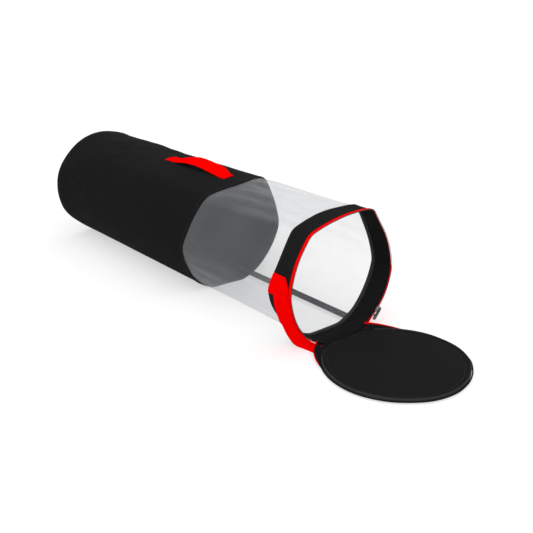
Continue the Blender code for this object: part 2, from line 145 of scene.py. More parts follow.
# How the border of the black rear part, the mouth's edge and the collar's edge wander round the bag
border_angles = (-180, -140, -100, -60, -25, 2, 17, 31, 42, 51, 58, 71, 81, 88, 96, 115, 141, 180)
border_shifts = (-0.030, -0.020, -0.008, 0.002, 0.014, 0.040, 0.038, 0.025, 0.020, 0.016, 0.010, 0.004,
                 -0.002, -0.008, -0.014, -0.016, -0.034, -0.030)
border_spread = 0.13
border_fade = 0.1
mouth_angles = (-180, -110, -60, -38, -27, -20, -10, 0, 10, 21, 31, 40, 65, 78, 95, 110, 125, 140, 180)
mouth_shifts = (0, 0, -0.0065, -0.0080, -0.0045, -0.0025, 0, 0.0035, 0.0055, 0.0050, 0.0022, 0.0014, 0.0014,
                0.0010, 0.0014, 0.0014, 0.0010, -0.0010, 0)
collar_angles = (-180, 58, 70, 78, 92, 106, 120, 135, 150, 180)
collar_shifts = (0, 0, -0.002, -0.006, -0.016, -0.020, -0.015, -0.005, 0, 0)
collar_spread = 0.032
wander_blur = (-8, -4, 0, 4, 8)

# Loose cloth and film: heights of their waves, and where they fade
cloth_waves_high, cloth_fine_high = 0.0011, 0.00055
film_waves_high, film_broad_high = 0.0010, 0.0006
lying_angles = (math.radians(128), math.radians(150))
end_fade_x = end_x + 0.05
border_fade_run = 0.03
slack_xs = (-0.45, -0.2)
slack_share = 0.6
film_fade_run = 0.05
pucker_high = 0.00028
pucker_start = end_x + 0.010
pucker_seams = ((border_x - 0.004, 0.012), (end_x + end_round, 0.012), (collar_x + 0.006, 0.010))

# The full bulge low on the camera side at the closed end, and the swell along the top of the far side
bulge_high = 0.007
bulge_angles = (math.radians(40), math.radians(80), math.radians(110), math.radians(140))
bulge_x, bulge_reach = end_x + 0.012, 0.05
swell_high, swell_more = 0.0040, 0.0018
swell_angle, swell_spread = 33, 15
swell_run = 0.02

# Folds seen in the photograph: x and angle at both ends, half width and height
crease_end_share = 0.08
creases = (
    ((-0.612, 56), (-0.486, 79), 0.0075, 0.0042),
    ((-0.572, 47), (-0.500, 65), 0.0075, -0.0034),
    ((-0.590, 66), (-0.535, 78), 0.0070, -0.0026),
    ((-0.640, 28), (-0.560, 26), 0.0060, 0.0016),
    ((-0.520, 34), (-0.440, 28), 0.0100, 0.0016),
    ((-0.540, 14), (-0.430, 19), 0.0080, -0.0012),
    ((-0.630, 92), (-0.560, 104), 0.0080, 0.0018),
    ((-0.400, 112), (-0.300, 104), 0.0120, 0.0012),
    ((-0.110, 60), (-0.050, 84), 0.0080, -0.0012),
    ((-0.080, 96), (-0.048, 112), 0.0080, 0.0016),
    ((-0.600, -50), (-0.500, -76), 0.0080, 0.0034),
    ((-0.560, -40), (-0.470, -58), 0.0080, -0.0024),
    ((-0.330, -70), (-0.230, -92), 0.0100, 0.0014),
    ((-0.120, -58), (-0.050, -80), 0.0080, 0.0018),
)

# How far the lid's soft rim lies outside its circle, by angle from its far edge towards +Y
rim_angles = (-180, -75, -58, -40, -20, 0, 12, 30, 42, 54, 180)
rim_shifts = (0, 0, -0.0010, -0.0025, -0.0010, -0.0015, -0.0030, -0.0030, -0.0025, 0, 0)
rim_blur = (-2, 0, 2)
rim_shares = (0.7, 0.97)

# The sewn edge beside the lid's hinge: angle on the lid, distance from its middle and height
flare_angles = (118, 126, 134.6, 144.5, 154.1)
flare_radii = (0.1560, 0.1592, 0.1653, 0.1733, 0.1758)
flare_heights = (0.0044, 0.0048, 0.0062, 0.0086, 0.0128)
flare_blur = (-3, 0, 3)

# X and Z of the fabric hinge's middle line
hinge_line = (
    (0.3520, 0.00270), (0.3600, 0.00262), (0.3655, 0.00262), (0.3672, 0.00235), (0.3690, 0.00150),
    (0.3712, 0.00095), (0.3740, 0.00080), (0.3775, 0.00080), (0.3811, 0.00082), (0.3850, 0.00085),
    (0.3900, 0.00088), (0.3960, 0.00090),
)

# The end strap's edges beside the mouth on the far side: shifts from its straight run, by height
side_foot_y = 0.1035
side_foot_z = 0.058
rear_heights = (0.05, 0.06, 0.10, 0.12, side_high.z)
rear_shifts = (-0.0040, -0.0045, -0.005, -0.004, -0.003)
front_heights = (0.128, 0.135, side_high.z)
front_shifts = (0.0072, 0.0045, -0.0025)

# Its rear and front edge where it turns forward to the floor: X, Y and Z of each
strap_turn = (
    (0.3160, 0.1300, 0.0560, 0.3667, 0.1265, 0.0560),
    (0.3165, 0.1265, 0.0470, 0.3667, 0.1198, 0.0480),
    (0.3175, 0.1225, 0.0370, 0.3668, 0.1134, 0.0405),
    (0.3195, 0.1180, 0.0270, 0.3670, 0.1070, 0.0340),
    (0.3222, 0.1130, 0.0170, 0.3672, 0.1010, 0.0285),
    (0.3250, 0.1085, 0.0085, 0.3676, 0.0954, 0.0240),
    (0.3300, 0.1050, 0.0030, 0.3682, 0.0902, 0.0200),
    (0.3360, 0.1030, 0.0010, 0.3690, 0.0852, 0.0165),
    (0.3440, 0.1012, 0.0009, 0.3700, 0.0805, 0.0132),
    (0.3530, 0.0995, 0.0009, 0.3715, 0.0755, 0.0100),
    (0.3630, 0.0978, 0.0009, 0.3735, 0.0700, 0.0068),
    (0.3720, 0.0966, 0.0009, 0.3762, 0.0642, 0.0038),
    (0.3800, 0.0958, 0.0009, 0.3800, 0.0590, 0.0018),
    (0.3860, 0.0955, 0.0009, 0.3860, 0.0560, 0.0010),
    (0.3920, 0.0955, 0.0009, 0.3920, 0.0555, 0.0009),
)

# Height of the carry handle's two edges above its seat, by the distance from its rear end
handle_places = (0, 0.028, 0.034, 0.040, 0.050, 0.060, 0.070, 0.080, 0.090, 0.100, 0.110, 0.120, 0.130, 0.140,
                 0.150, 0.160, 0.175, 0.190, 0.205, 0.214, 0.220, 0.225, 0.232)
far_rises = (0, 0, 0.0015, 0.0040, 0.0064, 0.0088, 0.0110, 0.0132, 0.0154, 0.0176, 0.0190, 0.0196, 0.0198,
             0.0194, 0.0186, 0.0178, 0.0162, 0.0148, 0.0120, 0.0065, 0.0025, 0.0005, 0)
near_rises = (0, 0, 0, 0, 0.0002, 0.0022, 0.0044, 0.0062, 0.0078, 0.0088, 0.0094, 0.0099, 0.0103, 0.0103,
              0.0098, 0.0088, 0.0064, 0.0044, 0.0024, 0.0008, 0, 0, 0)
front_sewn_length = 0.020

# A strap's section: places across it as shares of its width, and its lift there as a share of its gauge
strap_across = np.array((-1, -0.985, -0.93, -0.86, -0.5, 0, 0.5, 0.86, 0.93, 0.985, 1)) / 2
strap_lift = np.array((0.5, 0.85, 1.0, 0.86, 0.9, 0.92, 0.9, 0.86, 1.0, 0.85, 0.5))

# Camera matched to the photograph
camera_lens, camera_sensor = 52.22, 36
camera_place = (1.4386, -1.1043, 0.7636)
camera_target = (0.1740, -0.0547, 0.1255)


# Wall of the bag


def smooth(value, start, end):
    """Turns smoothly from 0 at start to 1 at end."""
    share = np.clip((value - start) / (end - start), 0, 1)
    return share * share * (3 - 2 * share)


def bell(value, middle, reach):
    """Falls smoothly from 1 at the middle to 0 on both sides."""
    return np.exp(-(((value - middle) / reach) ** 2))


def turned(angle):
    """The same angle between minus and plus half a turn."""
    return (angle + math.pi) % (2 * math.pi) - math.pi


def soft_floor(value):
    """Keeps a cosine above the floor's share, with a small soft corner."""
    return -flat_share + np.log1p(np.exp(floor_crispness * (value + flat_share))) / floor_crispness


def flatness(angle, x):
    """How much of the flats is left: none at the closed end, and a share round the top at the mouth."""
    rear = np.clip((x - flat_start) / flat_run, 0, 1)
    front = np.clip((fade_end - x) / (fade_end - fade_start), 0, 1)
    kept = np.interp(np.degrees(np.abs(angle)), flat_kept_angles, flat_kept_shares)
    return np.minimum(rear, kept + (1 - kept) * front)


def sharp_sink(angle, x):
    """How far a flat lies inside the full round, with sharp corners between the flats."""
    turn = turned(angle)
    sink = np.zeros(np.broadcast(angle, x).shape)
    for start, end, depth in zip(flat_edges, flat_edges[1:], flat_depths):
        chord = math.cos((end - start) / 2) / np.cos(turn - (start + end) / 2)
        inside = (turn >= start) & (turn <= end)
        sink = np.where(inside, tube_radius * (1 - chord) * depth, sink)
    return sink * flatness(turn, x)


def wall_sink(angle, x):
    """The flats with soft corners, which are crisper towards the collar."""
    soft = 1 - crisper_share * smooth(x, border_x, collar_x)
    return sum(sharp_sink(angle + shift * soft, x) for shift in corner_softness) / len(corner_softness)


def by_angle(angle, angles, values):
    """Looks a value up by the angle towards the camera side, blurred so that it has no corners."""
    total = sum(
        np.interp(np.degrees(turned(math.radians(shift) - angle)), angles, values) for shift in wander_blur
    )
    return total / len(wander_blur)


def wander(angle, x):
    """How far the cloth is pulled along the bag, most at the border and at the mouth."""
    border = bell(x, border_x, border_spread) * by_angle(angle, border_angles, border_shifts)
    mouth = smooth(x, collar_x, mouth_tape_low.x) * by_angle(angle, mouth_angles, mouth_shifts)
    collar = bell(x, collar_x, collar_spread) * by_angle(angle, collar_angles, collar_shifts)
    return border * (1 - smooth(x, collar_x - border_fade, collar_x)) + mouth + collar


def make_waves(count, turns, lengths, rng):
    """Random soft waves: whole turns round the tube, radians per metre along it and phase for each."""
    waves = []
    for _ in range(count):
        around = rng.integers(*turns)
        along = 2 * math.pi / rng.uniform(*lengths) * rng.choice((-1, 1))
        waves.append((around, along, rng.uniform(0, 6.28)))
    return waves


rng = np.random.default_rng(7)
broad_waves = make_waves(7, (1, 6), (0.16, 0.5), rng)
fine_waves = make_waves(9, (5, 15), (0.07, 0.2), rng)
film_waves = make_waves(8, (9, 24), (0.25, 0.9), rng)
pucker_waves = make_waves(6, (60, 130), (0.5, 2.0), rng)


def wave_sum(waves, angle, x):
    total = sum(np.sin(around * angle + along * x + phase) for around, along, phase in waves)
    return total / math.sqrt(len(waves))


def crease_field(angle, x):
    """Height of the single folds, each highest at its middle."""
    total = 0
    side = turned(angle)
    for (x0, a0), (x1, a1), width, height in creases:
        start = np.array((x0, -math.radians(a0) * tube_radius))
        run = np.array((x1, -math.radians(a1) * tube_radius)) - start
        dx, dy = x - start[0], side * tube_radius - start[1]
        share = np.clip((dx * run[0] + dy * run[1]) / (run @ run), 0, 1)
        off = (dx - share * run[0]) ** 2 + (dy - share * run[1]) ** 2
        ease = np.sin(math.pi * np.clip(share, crease_end_share, 1 - crease_end_share)) ** 0.7
        total = total + height * ease * np.exp(-off / width**2)
    return total


def folds(angle, x):
    """How far the cloth stands out of its plain shape. The bottom and the sewn places stay quiet."""
    turn = turned(angle)
    lying = 1 - smooth(np.abs(turn), *lying_angles)
    broad = wave_sum(broad_waves, turn, x)
    rear = smooth(x, end_x + end_round, end_fade_x) * (1 - smooth(x, border_x - border_fade_run, border_x))
    slack = 1 - slack_share * smooth(x, *slack_xs)
    cloth = rear * slack * (cloth_waves_high * broad + cloth_fine_high * wave_sum(fine_waves, turn, x))
    cloth = cloth + rear * crease_field(turn, x)
    low_side = smooth(-turn, *bulge_angles[:2]) * (1 - smooth(-turn, *bulge_angles[2:]))
    cloth = cloth + bulge_high * low_side * bell(x, bulge_x, bulge_reach)
    swell = (swell_high + swell_more * smooth(x, border_x, collar_x)) * smooth(x, end_x, end_x + swell_run)
    swell = swell * bell(np.degrees(turn), swell_angle, swell_spread)
    film = smooth(x, border_x, border_x + film_fade_run) * (1 - smooth(x, collar_x - film_fade_run, collar_x))
    clear = film * (film_waves_high * wave_sum(film_waves, turn, x) + film_broad_high * broad)
    puckers = wave_sum(pucker_waves, turn, x)
    near_seams = sum(bell(x, seam, reach) for seam, reach in pucker_seams)
    pucker = pucker_high * (x > pucker_start) * near_seams * puckers
    return lying * (cloth + clear + pucker + swell)


def blurred(value, places, values, shifts):
    """Looks a value up in a table, blurred so that it has no corners."""
    return sum(np.interp(value + shift, places, values) for shift in shifts) / len(shifts)


def wall_point(angle, x, depth=0.0):
    """World points of the bag's wall, a depth inside its outer face."""
    angle, x, depth = np.broadcast_arrays(np.asarray(angle, float), x, depth)
    reach = tube_radius - depth - wall_sink(angle, x) + folds(angle, x)
    y = reach * np.sin(angle)
    z = np.maximum(axis_height + reach * soft_floor(np.cos(angle)), 0)
    return np.stack((x + wander(angle, x), y, z), -1)


def lid_point(angle, radius, height):
    """World points of the open lid. Its top when shut is the far edge here, towards +X."""
    angle, radius, height = np.broadcast_arrays(np.asarray(angle, float), radius, height)
    shift = blurred(np.degrees(turned(angle)), rim_angles, rim_shifts, rim_blur)
    radius = radius + shift * smooth(radius, rim_shares[0] * lid_radius, rim_shares[1] * lid_radius)
    x = lid_centre_x + radius * soft_floor(np.cos(angle))
    return np.stack((np.maximum(x, lid_flat_x), radius * np.sin(angle), height), -1)


# Mesh builders


def add(name, data):
    item = bpy.data.objects.new(name, data)
    bpy.context.scene.collection.objects.link(item)
    return item


def add_mesh(name, mesh, material, sharp=50):
    mesh.materials.append(material)
    mesh.shade_smooth()
    mesh.set_sharp_from_angle(angle=math.radians(sharp))
    return add(name, mesh)


def mend(mesh, repair):
    """Repairs a mesh in place and turns its faces outwards."""
    shape = bmesh.new()
    shape.from_mesh(mesh)
    repair(shape)
    bmesh.ops.recalc_face_normals(shape, faces=shape.faces)
    shape.to_mesh(mesh)
    shape.free()


def surface(name, points, material, u=None, v=None, uv=None, wrap_u=False, wrap_v=False, caps=False):
    """A mesh from a grid of points. Texture coordinates are in metres, by row and column or by point."""
    rows, columns = points.shape[:2]
    index = np.arange(rows * columns).reshape(rows, columns)
    i, j = np.meshgrid(
        np.arange(rows if wrap_u else rows - 1),
        np.arange(columns if wrap_v else columns - 1),
        indexing="ij",
    )
    i, j = i.ravel(), j.ravel()
    corners = ((i, j), (i, j + 1), (i + 1, j + 1), (i + 1, j))
    faces = np.stack([index[a % rows, b % columns] for a, b in corners], 1).tolist()
    if uv is None:
        coords = np.stack([np.stack((u[a], v[b]), 1) for a, b in corners], 1)
    else:
        coords = np.stack([uv[a % rows, b % columns] for a, b in corners], 1)
    coords = coords.reshape(-1, 2)
    if caps:
        for ring, row in ((index[0][::-1], 0), (index[-1], rows - 1)):
            faces.append(ring.tolist())
            coords = np.vstack((coords, points[row, : len(ring), 1:]))
    mesh = bpy.data.meshes.new(name)
    mesh.from_pydata(points.reshape(-1, 3).tolist(), [], faces)
    layer = mesh.uv_layers.new(name="UVMap")
    layer.data.foreach_set("uv", coords.astype(np.float32).ravel())
    mend(mesh, lambda shape: bmesh.ops.remove_doubles(shape, verts=shape.verts, dist=1e-6))
    return add_mesh(name, mesh, material)


def bar(name, points, material, u, v):
    """A closed profile along a line, with a cap at both ends."""
    return surface(name, points, material, u, v, wrap_v=True, caps=True)


def lengths_along(points, closed=False):
    """Distances along a line of points, with the closing step added where it is closed."""
    line = np.vstack((points, points[:1])) if closed else points
    steps = np.linalg.norm(np.diff(line, axis=0), axis=1)
    return np.concatenate(([0], np.cumsum(steps)))


def looked_up(at, along, values):
    """Values between the points of a line, by the distance along it."""
    return np.stack([np.interp(at, along, column) for column in np.asarray(values).T], 1)


def relaxed(line, rounds):
    """Moves each inner point of a line to the mean of itself and its neighbours, a number of times."""
    for _ in range(rounds):
        line[1:-1] = (line[:-2] + line[1:-1] + line[2:]) / 3
    return line


def unit(vectors):
    return vectors / np.linalg.norm(vectors, axis=1)[:, None]


def swept(name, profile, material, steps=ring_steps):
    """Sweeps a closed profile of (x, depth) right round the wall."""
    x, depth = np.array(profile, float).T
    angles = np.linspace(0, 2 * math.pi, steps, endpoint=False)
    u = np.append(angles, 2 * math.pi) * tube_radius
    v = lengths_along(np.array(profile, float), closed=True)
    return surface(name, wall_point(angles[:, None], x, depth), material, u, v, wrap_u=True, wrap_v=True)


def ride(piece, body, slot, *nodes):
    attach(piece, body)
    if nodes:
        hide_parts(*nodes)


def coat(name, material):
    """Gives a part of the frame that stays in sight its material."""
    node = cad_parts[name]
    node.data.materials.clear()
    node.data.materials.append(material)
    return node


def wire_mesh(name, path, radius, material, sides=5):
    """A thin round wire along a path of points."""
    path = np.asarray(path)
    ahead = unit(np.gradient(path, axis=0))
    normal = np.zeros_like(path)
    normal[0] = np.cross(ahead[0], (0.3, 0.5, 0.8))
    for k in range(1, len(path)):
        normal[k] = normal[k - 1] - ahead[k] * (normal[k - 1] @ ahead[k])
    normal = unit(normal)
    side = np.cross(ahead, normal)
    turn = np.linspace(0, 2 * math.pi, sides, endpoint=False)
    ring = np.cos(turn)[None, :, None] * normal[:, None] + np.sin(turn)[None, :, None] * side[:, None]
    v = np.linspace(0, 2 * math.pi * radius, sides + 1)
    return bar(name, path[:, None] + radius * ring, material, lengths_along(path), v)


stitch_ring = [(math.cos(turn), math.sin(turn)) for turn in (0.8, 2.4, 3.9, 5.5)]
stitch_shape = np.array(
    [(-1, 0, 0)] + [(place, *corner) for place in (-0.55, 0.55) for corner in stitch_ring] + [(1, 0, 0)]
)
stitch_faces = (
    [(0, 1 + (k + 1) % 4, 1 + k) for k in range(4)]
    + [(1 + k, 1 + (k + 1) % 4, 5 + (k + 1) % 4, 5 + k) for k in range(4)]
    + [(9, 5 + k, 5 + (k + 1) % 4) for k in range(4)]
)


def stitch_row(path, up):
    """Corner points of single stitches along a path, with up away from the cloth."""
    along = lengths_along(path)
    count = max(int(along[-1] / (stitch_length + stitch_gap)), 1)
    at = (np.arange(count) + 0.5) * along[-1] / count
    centre = looked_up(at, along, path)
    step = 0.001
    tangent = unit(looked_up(at + step, along, path) - looked_up(at - step, along, path))
    side = unit(np.cross(tangent, looked_up(at, along, up)))
    ways = np.stack((tangent, side, np.cross(side, tangent)), 1)
    shape = stitch_shape * (stitch_length / 2, stitch_thick, stitch_thick * 0.8)
    return (centre[:, None] + shape @ ways).reshape(-1, 3)


def stitching(name, rows, material):
    points = np.vstack(rows)
    count = len(points) // len(stitch_shape)
    faces = [tuple(k * len(stitch_shape) + f for f in face) for k in range(count) for face in stitch_faces]
    mesh = bpy.data.meshes.new(name)
    mesh.from_pydata(points.tolist(), [], faces)
    mesh.uv_layers.new(name="UVMap")
    return add_mesh(name, mesh, material, sharp=80)


def wall_stitches(angles, xs, depth):
    """A stitched row on the bag's wall along angles and places along the bag."""
    angles, xs = np.broadcast_arrays(np.asarray(angles, float), xs)
    out = np.stack((np.zeros(len(angles)), np.sin(angles), np.cos(angles)), 1)
    return stitch_row(wall_point(angles, xs, depth), out)


# Materials

noise_band = (0.3, 0.7)


def put(tree, socket, value):
    if isinstance(value, bpy.types.NodeSocket):
        tree.links.new(value, socket)
    else:
        socket.default_value = value


def calc(tree, operation, *values):
    node = tree.nodes.new("ShaderNodeMath")
    node.operation = operation
    for socket, value in zip(node.inputs, values):
        put(tree, socket, value)
    return node.outputs[0]


def noise_at(tree, vector, scale, detail=3.0):
    node = tree.nodes.new("ShaderNodeTexNoise")
    put(tree, node.inputs["Vector"], vector)
    for name, number in (("Scale", scale), ("Detail", detail), ("Roughness", 0.6)):
        node.inputs[name].default_value = number
    return node.outputs["Fac"]


def spread(tree, value, source, result):
    """Maps a value from one range to another."""
    node = tree.nodes.new("ShaderNodeMapRange")
    put(tree, node.inputs["Value"], value)
    for name, number in zip(("From Min", "From Max", "To Min", "To Max"), (*source, *result)):
        node.inputs[name].default_value = number
    return node.outputs["Result"]


def tinted(tree, colour, factor):
    """The colour times a factor that varies over the surface."""
    node = tree.nodes.new("ShaderNodeVectorMath")
    node.operation = "SCALE"
    node.inputs[0].default_value = colour
    put(tree, node.inputs["Scale"], factor)
    return node.outputs["Vector"]


def start_material(name, **sockets):
    made = bpy.data.materials.new(name)
    made.use_nodes = True
    tree = made.node_tree
    shader = tree.nodes["Principled BSDF"]
    for socket, value in sockets.items():
        shader.inputs[socket.replace("_", " ")].default_value = value
    return made, tree, shader


def surface_coords(tree):
    """Texture coordinates in metres."""
    node = tree.nodes.new("ShaderNodeUVMap")
    node.uv_map = "UVMap"
    return node.outputs["UV"]


def bumped(tree, shader, height, distance):
    node = tree.nodes.new("ShaderNodeBump")
    node.inputs["Distance"].default_value = distance
    node.inputs["Strength"].default_value = 1.0
    put(tree, node.inputs["Height"], height)
    tree.links.new(node.outputs["Normal"], shader.inputs["Normal"])


def woven(name, colour, warp, weft, bump, variation, rough, specular, fuzz=0.0):
    """A woven cloth: threads of two pitches, thick and thin places, and broad colour changes."""
    made, tree, shader = start_material(name, Roughness=rough, Specular_IOR_Level=specular)
    vector = surface_coords(tree)
    apart = tree.nodes.new("ShaderNodeSeparateXYZ")
    tree.links.new(vector, apart.inputs[0])
    across = calc(tree, "SINE", calc(tree, "MULTIPLY", apart.outputs["X"], 2 * math.pi / warp))
    along = calc(tree, "SINE", calc(tree, "MULTIPLY", apart.outputs["Y"], 2 * math.pi / weft))
    weave = calc(tree, "MULTIPLY", across, along)
    slub = noise_at(tree, vector, scale=0.16 / warp, detail=2.0)
    height = calc(tree, "ADD", calc(tree, "MULTIPLY", weave, 0.5), calc(tree, "MULTIPLY", slub, 0.8))
    bumped(tree, shader, height, bump)
    broad = noise_at(tree, vector, scale=7.0, detail=4.0)
    fine = noise_at(tree, vector, scale=90.0)
    tone = spread(tree, broad, noise_band, (1 - variation, 1 + variation))
    threads = spread(tree, weave, (-1.0, 1.0), (0.86, 1.10))
    lint = spread(tree, fine, (0.62, 0.78), (1.0, 1.0 + fuzz))
    factor = calc(tree, "MULTIPLY", calc(tree, "MULTIPLY", tone, threads), lint)
    tree.links.new(tinted(tree, colour, factor), shader.inputs["Base Color"])
    return made


def moulded(name, colour, rough, specular, metallic=0.0, wear=0.0):
    """Plain plastic or painted metal, with a fine grain and paler worn edges."""
    worn = (0.25, 0.25, 0.26)
    made, tree, shader = start_material(name, Metallic=metallic, Specular_IOR_Level=specular)
    place = tree.nodes.new("ShaderNodeTexCoord").outputs["Object"]
    bumped(tree, shader, noise_at(tree, place, scale=900.0, detail=2.0), 0.00004)
    broad = noise_at(tree, place, scale=60.0)
    tree.links.new(spread(tree, broad, noise_band, (rough * 0.85, rough * 1.15)), shader.inputs["Roughness"])
    edge = tree.nodes.new("ShaderNodeNewGeometry").outputs["Pointiness"]
    edge_wear = spread(tree, edge, (0.53, 0.62), (0.0, wear))
    rubbed = calc(tree, "MULTIPLY", edge_wear, spread(tree, broad, (0.35, 0.6), (0.3, 1.0)))
    mix = tree.nodes.new("ShaderNodeMix")
    mix.data_type = "RGBA"
    tree.links.new(rubbed, mix.inputs["Factor"])
    mix.inputs["A"].default_value = (*colour, 1)
    mix.inputs["B"].default_value = (*worn, 1)
    tree.links.new(mix.outputs["Result"], shader.inputs["Base Color"])
    return made


def clear_film(name):
    """Soft clear vinyl: thin and faintly milky, glossier and more opaque where it is seen edge on; the added
    opacity there is partly its haze and partly a painted reflection in its grey colour.
    """
    made, tree, shader = start_material(name, Specular_IOR_Level=0.5, IOR=1.5)
    vector = surface_coords(tree)
    cloudy = noise_at(tree, vector, scale=11.0, detail=4.0)
    scuffs = spread(tree, noise_at(tree, vector, scale=260.0), noise_band, (0.96, 1.04))
    tree.links.new(spread(tree, cloudy, noise_band, (0.07, 0.16)), shader.inputs["Roughness"])
    tree.links.new(tinted(tree, (0.46, 0.48, 0.51), scuffs), shader.inputs["Base Color"])
    # Painted reflection: the film's grey shows more where it is seen edge on, standing in for its reflection,
    # together with its real haze.
    facing = tree.nodes.new("ShaderNodeLayerWeight")
    facing.inputs["Blend"].default_value = 0.35
    haze_and_painted_reflection = calc(tree, "ADD", calc(tree, "MULTIPLY", facing.outputs["Facing"], 0.20), 0.045)
    milky = spread(tree, cloudy, noise_band, (0.85, 1.2))
    tree.links.new(calc(tree, "MULTIPLY", haze_and_painted_reflection, milky), shader.inputs["Alpha"])
    bumped(tree, shader, noise_at(tree, vector, scale=9.0, detail=1.0), 0.0008)
    return made


plain_cloth = dict(rough=0.9, specular=0.04)
body_weave = dict(warp=0.0011, weft=0.0011, bump=0.00016, variation=0.07, fuzz=0.25, **plain_cloth)
lining_weave = dict(warp=0.0012, weft=0.0012, bump=0.00014, variation=0.06, fuzz=0.2, **plain_cloth)
binding_weave = dict(warp=0.0016, weft=0.0009, bump=0.00014, variation=0.06, rough=0.85, specular=0.15)
zip_weave = dict(warp=0.0018, weft=0.0008, bump=0.00012, variation=0.08, rough=0.85, specular=0.06)
webbing_weave = dict(warp=0.0024, weft=0.0015, bump=0.00028, variation=0.02, rough=0.95, specular=0.0)
red_tape_weave = dict(warp=0.0016, weft=0.0008, bump=0.00012, variation=0.02, rough=0.95, specular=0.0)
thread_twist = dict(warp=0.0006, weft=0.0006, bump=0.00005)
dark_twist = dict(variation=0.1, rough=0.6, specular=0.3, **thread_twist)
red_twist = dict(variation=0.08, rough=0.7, specular=0.06, **thread_twist)

black = woven("black_polyester", (0.0083, 0.0083, 0.0086), **body_weave)
collar_cloth = woven("collar_polyester", (0.0108, 0.0108, 0.0111), **body_weave)
lining_cloth = woven("lid_lining_cloth", (0.0110, 0.0110, 0.0114), **lining_weave)
binding_cloth = woven("binding_cloth", (0.030, 0.030, 0.032), **binding_weave)
# The standing zip tape's grey, lighter than the black cloth, is painted light: it stands in for the light
# that the tape's upright outer face catches.
painted_light_zip_cloth = woven("zip_tape_painted_light", (0.040, 0.040, 0.042), **zip_weave)
red_webbing = woven("red_webbing", (1.0, 0.0004, 0.0004), **webbing_weave)
red_tape = woven("red_tape_cloth", (1.0, 0.0004, 0.0004), **red_tape_weave)
dark_thread = woven("dark_thread", (0.028, 0.028, 0.030), **dark_twist)
red_thread = woven("red_thread", (0.86, 0.002, 0.002), **red_twist)
coil_nylon = moulded("coil_nylon", (0.034, 0.034, 0.036), rough=0.45, specular=0.4)
zip_metal = moulded("black_zip_metal", (0.030, 0.030, 0.032), 0.38, 0.5, metallic=0.35, wear=0.8)
board = moulded("stiffener_board", (0.030, 0.030, 0.031), rough=0.8, specular=0.2)
film = clear_film("clear_vinyl")


# Main bag


def hem_profile(start, end, start_hem, end_hem, step):
    """A cloth wall's profile with rounded edges and doubled hems of the given widths at its ends."""
    hems = [hem for hem in ((start, start_hem, 1), (end, end_hem, -1)) if hem[1]]
    xs = [*np.arange(start + edge_inset, end - edge_inset, step), end - edge_inset]
    for edge, width, way in hems:
        xs += [edge + way * (width + place) for place in hem_places]
    xs = np.unique(np.round(xs, decimals=6))
    hem = np.zeros(len(xs))
    for edge, width, _ in hems:
        hem = np.maximum(hem, 1 - smooth(np.abs(xs - edge), width - hem_ease, width + hem_ease))
    outer = list(zip(xs, -hem_rise * hem))
    inner = [(x, fabric_thick) for x in xs[::-1]]
    middle = fabric_thick / 2
    low, high = middle - edge_round, middle + edge_round
    ends = [(end - edge_nose, low), (end, middle), (end - edge_nose, high)]
    starts = [(start + edge_nose, high), (start, middle), (start + edge_nose, low)]
    return outer + ends + inner + starts


def make_rear():
    profile = hem_profile(rear_low.x, border_x, 0, rear_hem, rear_step)
    ride(swept("bag_rear_fabric", profile, black, fine_steps), "bag", "black_fabric", "rear_body")
    make_end_panel()
    coat("rear_end_board", board)


def make_end_panel():
    """A dish whose edge turns over into the tube."""
    flat_radius = tube_radius - end_turn

    def edge_arc(radius, turns):
        return [(end_x + end_turn - radius * math.cos(t), flat_radius + radius * math.sin(t)) for t in turns]

    turns = np.linspace(0, math.pi / 2, 9)
    shares = np.linspace(0, 1, 16)
    outer = [(end_x, flat_radius * share) for share in shares[:-1]] + edge_arc(end_turn, turns)
    outer.append((end_x + end_round, tube_radius))
    inner = [(end_x + end_round, tube_radius - fabric_thick)] + edge_arc(end_turn - fabric_thick, turns[::-1])
    inner += [(end_x + fabric_thick, flat_radius * share) for share in shares[-2::-1]]
    profile = np.array(outer + inner)
    x, radius = profile.T
    angles = np.linspace(0, 2 * math.pi, ring_steps, endpoint=False)[:, None]
    points = wall_point(angles, x, tube_radius - radius)
    middle = (1 - smooth(radius, flat_radius * 0.7, flat_radius)) * smooth(radius, 0, 0.03)
    ripple_high = 0.0006
    points[..., 0] += np.abs(middle * ripple_high * wave_sum(broad_waves, angles, radius * 3))
    along = lengths_along(profile)
    uv = np.stack((along * np.sin(angles), along * np.cos(angles)), -1)
    ride(surface("bag_end_panel", points, black, uv=uv, wrap_u=True), "bag", "black_fabric", "rear_end_panel")


def binding_profile(start, end, depth):
    """A folded tape's profile, with rounded edges and a slight crown on its inner face."""
    tip, shoulder, soft, crown = 0.0003, 0.0012, 0.00005, 0.0002
    inner = depth + binding_thick
    middle = (depth + inner) / 2
    return [
        (start, middle), (start + tip, depth + soft), (start + shoulder, depth),
        (end - shoulder, depth), (end - tip, depth + soft), (end, middle),
        (end - tip, inner - soft), (end - shoulder, inner),
        ((start + end) / 2, inner + crown),
        (start + shoulder, inner), (start + tip, inner - soft),
    ]


def make_seams():
    under_cloth = fabric_thick + seat_gap
    under_film = film_depth + film_thick + seat_gap
    for name, node, depth in (
        ("inner_end_binding", "rear_seam_binding", under_cloth),
        ("film_rear_binding", "window_rear_binding", under_film),
        ("film_front_binding", "window_front_binding", under_film),
    ):
        low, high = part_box(node)
        ring = swept(name, binding_profile(low.x, high.x, depth), binding_cloth)
        ride(ring, "bag", "dark_binding", node)
    over_film = film_depth - seat_gap - film_strip_thick
    for name, node, depth, thick, half in (
        ("inner_length_binding", "body_seam_binding", under_cloth, binding_thick, length_binding_half),
        ("film_length_seam", "window_seam_strip", over_film, film_strip_thick, film_strip_half),
    ):
        low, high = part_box(node)
        turns = np.linspace(seam_angle - half / tube_radius, seam_angle + half / tube_radius, 7)
        xs = np.linspace(low.x, high.x, 60)
        top = np.stack([wall_point(turns, x, depth) for x in xs])
        under = np.stack([wall_point(turns[::-1], x, depth + thick) for x in xs])
        points = np.concatenate((top, under), 1)
        v = np.linspace(0, 4 * half, points.shape[1] + 1)
        ride(bar(name, points, binding_cloth, xs, v), "bag", "dark_binding", node)


